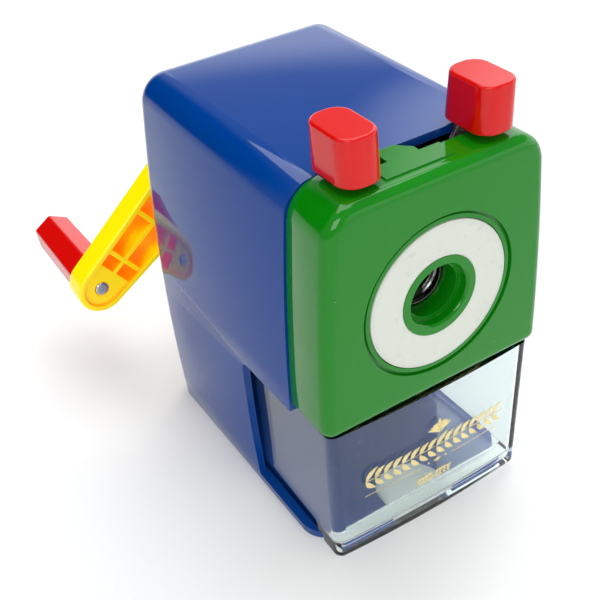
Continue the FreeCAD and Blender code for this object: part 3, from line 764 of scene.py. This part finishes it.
class SHARPENER_OT_cutter(bpy.types.Operator):
    """Grind the helical cutter with its flutes and finish the pinion"""

    bl_idname = "sharpener.cutter"
    bl_label = "Build cutter"

    def execute(self, context):
        ground = metal(
            "Ground cutter steel", (0.50, 0.50, 0.51), 0.22, along=(4200, 700, 4200), grain=0.7,
            tarnish=0.3
        )
        dress("cutter_pinion", ground)
        soften("cutter_pinion", 0.00006)
        flutes, twist, steps = 12, math.radians(45.0), 40
        radius, bore = 0.007, 0.00195
        start, end = -0.009, 0.0164
        deep = sizes().flute_depth
        tooth = (
            (0.0, 0.0), (0.14, 0.03), (0.28, 0.13), (0.34, 0.80), (0.45, 0.98), (0.60, 1.0), (0.76, 0.86),
            (0.90, 0.45)
        )
        place = tilted_axis()
        rings = []

        def ring_at(y, angle, inner=None, grow=1.0):
            ring = []
            for f in range(flutes):
                for share, sunk in tooth:
                    a = angle + 2 * math.pi * (f + share) / flutes
                    r = inner if inner else (radius - deep * sunk) * grow
                    ring.append(place @ Vector((r * math.cos(a), y, AXIS_Z + 0.0072 + r * math.sin(a))))
            return ring

        rings.append(ring_at(start, 0.0, bore))
        rings.append(ring_at(start, 0.0, None, 0.965))
        for k in range(steps + 1):
            share = k / steps
            y = start + 0.00025 + (end - start - 0.0005) * share
            rings.append(ring_at(y, twist * share))
        rings.append(ring_at(end, twist, None, 0.965))
        rings.append(ring_at(end, twist, bore))
        bm = bmesh.new()
        skin_rings(bm, rings, wrap=True)
        piece = piece_from(bm, "fluted_cutter", ground, "cutter", 28.0)
        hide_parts("helical_cutter")
        return {"FINISHED"}


class SHARPENER_OT_coils(bpy.types.Operator):
    """Wind the two feed springs that pull the front plate back"""

    bl_idname = "sharpener.coils"
    bl_label = "Wind feed springs"

    def execute(self, context):
        wire = metal(
            "Drawn spring wire", (0.44, 0.43, 0.42), 0.24, along=(900, 900, 900), grain=0.4, tarnish=0.3
        )
        thick = sizes().coil_wire / 2
        turns, around = sizes().coil_turns, 30
        closed = 1.1  # turns that lie together at each end
        for side, (low, high) in COIL_BOXES.items():
            centre = (low + high) / 2
            mean = (high.x - low.x) / 2 - thick
            first, last = low.y + thick, high.y - thick
            points = []
            total = turns * around
            for i in range(total + 1):
                t = i / around
                share = i / total
                if t < closed:
                    y = first + 2.1 * thick * t
                elif t > turns - closed:
                    y = last - 2.1 * thick * (turns - t)
                else:
                    y0, y1 = first + 2.1 * thick * closed, last - 2.1 * thick * closed
                    y = y0 + (y1 - y0) * (t - closed) / (turns - 2 * closed)
                a = 2 * math.pi * turns * share
                points.append(Vector((centre.x + mean * math.cos(a), y, centre.z + mean * math.sin(a))))
            rings = []
            for i, p in enumerate(points):
                along = (points[min(i + 1, total)] - points[max(i - 1, 0)]).normalized()
                out = Vector((p.x - centre.x, 0.0, p.z - centre.z)).normalized()
                up = along.cross(out).normalized()
                out = up.cross(along)
                turn = [2 * math.pi * k / 10 for k in range(10)]
                rings.append([p + (out * math.cos(b) + up * math.sin(b)) * thick for b in turn])
            bm = bmesh.new()
            skin_rings(bm, rings)
            coil = piece_from(bm, "feed_coil_" + side, wire, "housing", 60.0)
            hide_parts("feed_spring_" + side)
            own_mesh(coil)
        return {"FINISHED"}


class SHARPENER_OT_screws(bpy.types.Operator):
    """Turn the cross-head screws and set them in the housing, the front plate and the crank"""

    bl_idname = "sharpener.screws"
    bl_label = "Set screws"

    def execute(self, context):
        zinc = metal("Zinc-plated screw", (0.60, 0.61, 0.60), 0.22, grain=0.4, tarnish=0.25)
        sets = (
            ("frame_screws", "frame_screw", "housing", (0, 1, 0), 0.0024, 0.0009, 0.001, 0.0040,
             [(x, 0.03315, z) for x in (-0.019, 0.019) for z in (0.052, 0.084)]),
            (
                "floor_screws", "floor_screw", "housing", (0, 0, -1), 0.0024, 0.0009, 0.001, 0.0104,
                [(x, 0.028, 0.0012) for x in (-0.021, 0.021)]
            ),
            (
                "plate_screws", "plate_screw", "carriage", (0, 1, 0), 0.0024, 0.0009, 0.001, 0.0065,
                [(x, -0.03458, 0.084) for x in (-0.0195, 0.0195)]
            ),
            (
                "crank_screw", "crank_screw_head", "crank", (0, 1, 0), 0.0034, 0.0020, 0.00142, 0.0130,
                [(0.0, 0.05137, AXIS_Z)]
            ),
        )
        for node, name, body, axis, radius, height, shank, length, spots in sets:
            for i, spot in enumerate(spots):
                bm = bmesh.new()
                screw_into(bm, spot, axis, radius, height, shank, length, 0.5 + 1.3 * i)
                piece_from(bm, f"{name}_{i + 1}", zinc, body, 40.0)
            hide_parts(node)
        return {"FINISHED"}


class SHARPENER_OT_drawer(bpy.types.Operator):
    """Finish the clear shavings drawer"""

    bl_idname = "sharpener.drawer"
    bl_label = "Finish drawer"

    def execute(self, context):
        dress("shavings_drawer", clear_plastic("Clear drawer styrene", colours().drawer))
        return {"FINISHED"}


def leaf_outline(length, width, bend=0.0, count=9):
    """Outline of a pointed leaf along +X."""
    upper, lower = [], []
    for i in range(count + 1):
        t = i / count
        w = width / 2 * math.sin(math.pi * t ** 0.85) ** 0.9 if 0 < t < 1 else 0.0
        sag = bend * math.sin(math.pi * t)
        upper.append((length * t, sag + w))
        if 0 < i < count:
            lower.append((length * t, sag - w))
    return upper + lower[::-1]


def dot_outline(radius, count=16):
    return [
        (
            radius * math.cos(2 * math.pi * i / count), radius * math.sin(2 * math.pi * i / count)
        ) for i in range(count)
    ]


def lozenge_outline(width, height):
    return [(width / 2, 0), (0, height / 2), (-width / 2, 0), (0, -height / 2)]


def bar_outline(length, thick):
    return [(0, -thick / 2), (length, -thick / 2), (length, thick / 2), (0, thick / 2)]


class SHARPENER_OT_ornament(bpy.types.Operator):
    """Print the small gold leaf ornament on the drawer front"""

    bl_idname = "sharpener.ornament"
    bl_label = "Print ornament"

    def execute(self, context):
        gold = foil("Gold foil", colours().foil)
        thick = sizes().foil_thickness
        shapes = []
        bow = DRAWER_BOW_RADIUS

        def put(outline, x, z, turn=0.0, flip=1):
            c, s = math.cos(math.radians(turn)), math.sin(math.radians(turn))
            shapes.append([(x + (u * c - v * flip * s), z + (u * s + v * flip * c)) for u, v in outline])

        # laurel garland: paired leaves on a thin stem, two of them longer, with a berry at every other pair
        put(bar_outline(41.6, 0.26), -20.2, 23.6)
        for k in range(16):
            x = -20.0 + 2.55 * k
            grown = 1.25 if k in (0, 8) else 1.0
            put(leaf_outline(3.9 * grown, 1.35, 0.35), x, 23.7, 47)
            put(leaf_outline(3.9, 1.35, 0.35), x, 23.5, -47, -1)
            if k % 2:
                put(dot_outline(0.36), x + 1.2, 26.0)
        # fine rules with a small lozenge between
        put(bar_outline(16.2, 0.2), -20.2, 18.9)
        put(bar_outline(14.7, 0.2), 5.3, 18.9)
        put(lozenge_outline(2.4, 1.0), 0.7, 19.2)
        for x in (-1.9, 3.3):
            put(dot_outline(0.3), x, 19.2)
        # short spray of leaves below, spreading from the middle
        for side in (1, -1):
            for k in range(4):
                put(
                    leaf_outline(2.3 - 0.25 * k, 0.8, 0.25), -0.2 + side * (0.4 + 1.25 * k), 14.2,
                    90 - side * 52, side
                )
                put(
                    leaf_outline(1.8 - 0.2 * k, 0.7, 0.2), -0.2 + side * (0.4 + 1.25 * k), 14.0,
                    -90 + side * 52, -side
                )
            put(bar_outline(5.2, 0.2), -0.2, 14.1, 0 if side > 0 else 180)
        # sprig on top
        put(bar_outline(3.4, 0.24), 1.2, 27.9, 90)
        put(leaf_outline(2.2, 0.9), 1.2, 30.4, 90)
        for z, length in ((28.2, 4.0), (29.1, 3.3), (30.0, 2.4)):
            put(leaf_outline(length, 0.95, 0.35), 1.2, z, 26)
            put(leaf_outline(length, 0.95, 0.35), 1.2, z, 154, -1)

        bm = bmesh.new()
        for outline in shapes:
            deep = [DRAWER_FACE_Y + bow - math.sqrt(bow * bow - x * x * MM * MM) for x, z in outline]
            back = [bm.verts.new((x * MM, y + 0.00001, z * MM)) for (x, z), y in zip(outline, deep)]
            front = [bm.verts.new((x * MM, y - thick, z * MM)) for (x, z), y in zip(outline, deep)]
            bm.faces.new(front)
            bm.faces.new(back[::-1])
            for i in range(len(outline)):
                j = (i + 1) % len(outline)
                bm.faces.new((front[i], front[j], back[j], back[i]))
        piece_from(bm, "foil_ornament", gold, "drawer", 35.0)
        return {"FINISHED"}


class SHARPENER_OT_stage(bpy.types.Operator):
    """Set up the pale table, the soft lights and the camera"""

    bl_idname = "sharpener.stage"
    bl_label = "Set stage"

    def execute(self, context):
        scene = context.scene
        settings = scene.sharpener_stage
        scene.view_settings.view_transform = "Standard"
        self.table(settings.floor_size)
        self.room(scene, settings.room_glow)
        self.panel("key_panel", (0.08, 0.12, 1.20), (0.0, 0.0, 0.04), 0.95, 0.95, settings.key_power)
        self.panel("back_panel", (0.55, 0.47, 1.05), (0.0, 0.0, 0.10), 0.50, 0.50, settings.back_power)
        self.panel("fill_panel", (-0.70, -0.80, 0.70), (-0.03, 0.02, 0.05), 0.60, 0.60, settings.fill_power)
        self.camera(scene)
        return {"FINISHED"}

    def table(self, size):
        bm = bmesh.new()
        steps = 24
        grid = [
            [
                bm.verts.new(
                    (size * (i / steps - 0.5), size * (j / steps - 0.5), 0.0)
                ) for i in range(steps + 1)
            ] for j in range(steps + 1)
        ]
        for j in range(steps):
            for i in range(steps):
                bm.faces.new((grid[j][i], grid[j][i + 1], grid[j + 1][i + 1], grid[j + 1][i]))
        mesh = bpy.data.meshes.new("table_top")
        bm.to_mesh(mesh)
        bm.free()
        top = bpy.data.objects.new("table_top", mesh)
        top.location.z = -0.00002
        material, tree, shader = new_material("White table sheet")
        place = add(tree, "ShaderNodeTexCoord").outputs["Object"]
        fibre = noise(tree, place, 900.0, 3.0, 0.6)
        shader.inputs["Roughness"].default_value = 0.55
        join(
            tree,
            mix_colour(
                tree, maths(tree, "MULTIPLY", fibre, 0.06), (0.90, 0.905, 0.90, 1), (0.82, 0.83, 0.83, 1)
            ),
            shader.inputs["Base Color"]
        )
        bumped(tree, shader, fibre, 0.00001)
        mesh.materials.append(material)
        bpy.context.scene.collection.objects.link(top)

    def room(self, scene, glow):
        world = bpy.data.worlds.new("Pale room")
        world.use_nodes = True
        tree = world.node_tree
        back = next(n for n in tree.nodes if n.type == "BACKGROUND")
        back.inputs["Color"].default_value = (0.96, 0.985, 1.0, 1)
        # pale backdrop low down on the right, a bright patch above it, an unlit corner behind on the left
        toward = add(tree, "ShaderNodeTexCoord").outputs["Generated"]
        split = add(tree, "ShaderNodeSeparateXYZ")
        join(tree, toward, split.inputs[0])
        low = ramp(tree, split.outputs["Z"], 0.30, 0.40, 1.0, 0.0)
        backdrop = maths(tree, "MULTIPLY", low, ramp(tree, split.outputs["X"], -0.05, 0.25))
        corner = add(tree, "ShaderNodeVectorMath", operation="DOT_PRODUCT")
        join(tree, toward, corner.inputs[0])
        corner.inputs[1].default_value = (-0.494, 0.760, 0.423)
        unlit = ramp(tree, corner.outputs["Value"], 0.78, 0.93)
        bright = add(tree, "ShaderNodeVectorMath", operation="DOT_PRODUCT")
        join(tree, toward, bright.inputs[0])
        bright.inputs[1].default_value = (0.671, 0.470, 0.574)
        backdrop_glow, patch_glow = 1.1, 2.0
        strength = maths(tree, "MULTIPLY_ADD", backdrop, backdrop_glow, glow)
        patch = ramp(tree, bright.outputs["Value"], 0.945, 0.985)
        strength = maths(tree, "MULTIPLY_ADD", patch, patch_glow, strength)
        strength = maths(tree, "MULTIPLY", strength, maths(tree, "SUBTRACT", 1.0, unlit))
        join(tree, strength, back.inputs["Strength"])
        scene.world = world

    def panel(self, name, place, target, wide, tall, power):
        light = bpy.data.lights.new(name, "AREA")
        light.shape = "RECTANGLE"
        light.size = wide
        light.size_y = tall
        light.energy = power
        lamp = bpy.data.objects.new(name, light)
        lamp.location = place
        lamp.rotation_mode = "QUATERNION"
        lamp.rotation_quaternion = (Vector(target) - Vector(place)).to_track_quat("-Z", "Y")
        bpy.context.scene.collection.objects.link(lamp)

    def camera(self, scene):
        turn, rise, roll = (math.radians(a) for a in (-30.1709, 37.1196, -4.3601))
        # how far the aim is off the turned and raised axis, as tangents
        aside, lift = -0.0020148, -0.0008084
        back = Vector((math.sin(turn) * math.cos(rise), -math.cos(turn) * math.cos(rise), math.sin(rise)))
        ahead = -back
        right = ahead.cross(Vector((0, 0, 1))).normalized()
        up = right.cross(ahead)
        side = right * math.cos(roll) + up * math.sin(roll)
        head = -right * math.sin(roll) + up * math.cos(roll)
        ahead = (ahead + side * aside + head * lift).normalized()
        side = (side - ahead * side.dot(ahead)).normalized()
        head = side.cross(ahead)
        lens = bpy.data.cameras.new("view_camera")
        lens.sensor_width = 36.0
        lens.lens = 59.2314
        lens.clip_start = 0.01
        lens.clip_end = 20.0
        camera = bpy.data.objects.new("view_camera", lens)
        place = Vector((-0.1083235, -0.176493, 0.1961246))
        camera.matrix_world = Matrix(
            ((side.x, head.x, -ahead.x, place.x), (side.y, head.y, -ahead.y, place.y),
             (side.z, head.z, -ahead.z, place.z), (0, 0, 0, 1)))
        scene.collection.objects.link(camera)
        scene.camera = camera


class SHARPENER_PT_panel(bpy.types.Panel):
    """Lists the steps that finish the sharpener."""

    bl_idname = "SHARPENER_PT_panel"
    bl_label = "Desk Pencil Sharpener"
    bl_space_type = "VIEW_3D"
    bl_region_type = "UI"
    bl_category = "Sharpener"

    def draw(self, context):
        for group in (
            context.scene.sharpener_colours, context.scene.sharpener_sizes, context.scene.sharpener_stage
        ):
            box = self.layout.box()
            for key in type(group).__annotations__:
                box.prop(group, key)
        for step in STEPS:
            self.layout.operator(step.bl_idname)


STEPS = (
    SHARPENER_OT_housing,
    SHARPENER_OT_front_plate,
    SHARPENER_OT_knobs,
    SHARPENER_OT_crank,
    SHARPENER_OT_cutter,
    SHARPENER_OT_coils,
    SHARPENER_OT_screws,
    SHARPENER_OT_drawer,
    SHARPENER_OT_ornament,
    SHARPENER_OT_stage,
)
GROUPS = (
    ("sharpener_colours", SharpenerColours), ("sharpener_sizes", SharpenerSizes),
    ("sharpener_stage", SharpenerStage)
)


def register():
    for name, group in GROUPS:
        bpy.utils.register_class(group)
        setattr(bpy.types.Scene, name, PointerProperty(type=group))
    for step in STEPS:
        bpy.utils.register_class(step)
    bpy.utils.register_class(SHARPENER_PT_panel)


def unregister():
    bpy.utils.unregister_class(SHARPENER_PT_panel)
    for step in reversed(STEPS):
        bpy.utils.unregister_class(step)
    for name, group in reversed(GROUPS):
        delattr(bpy.types.Scene, name)
        bpy.utils.unregister_class(group)


def main():
    register()
    for step in STEPS:
        area, name = step.bl_idname.split(".")
        getattr(getattr(bpy.ops, area), name)()


if __name__ == "__main__":
    main()
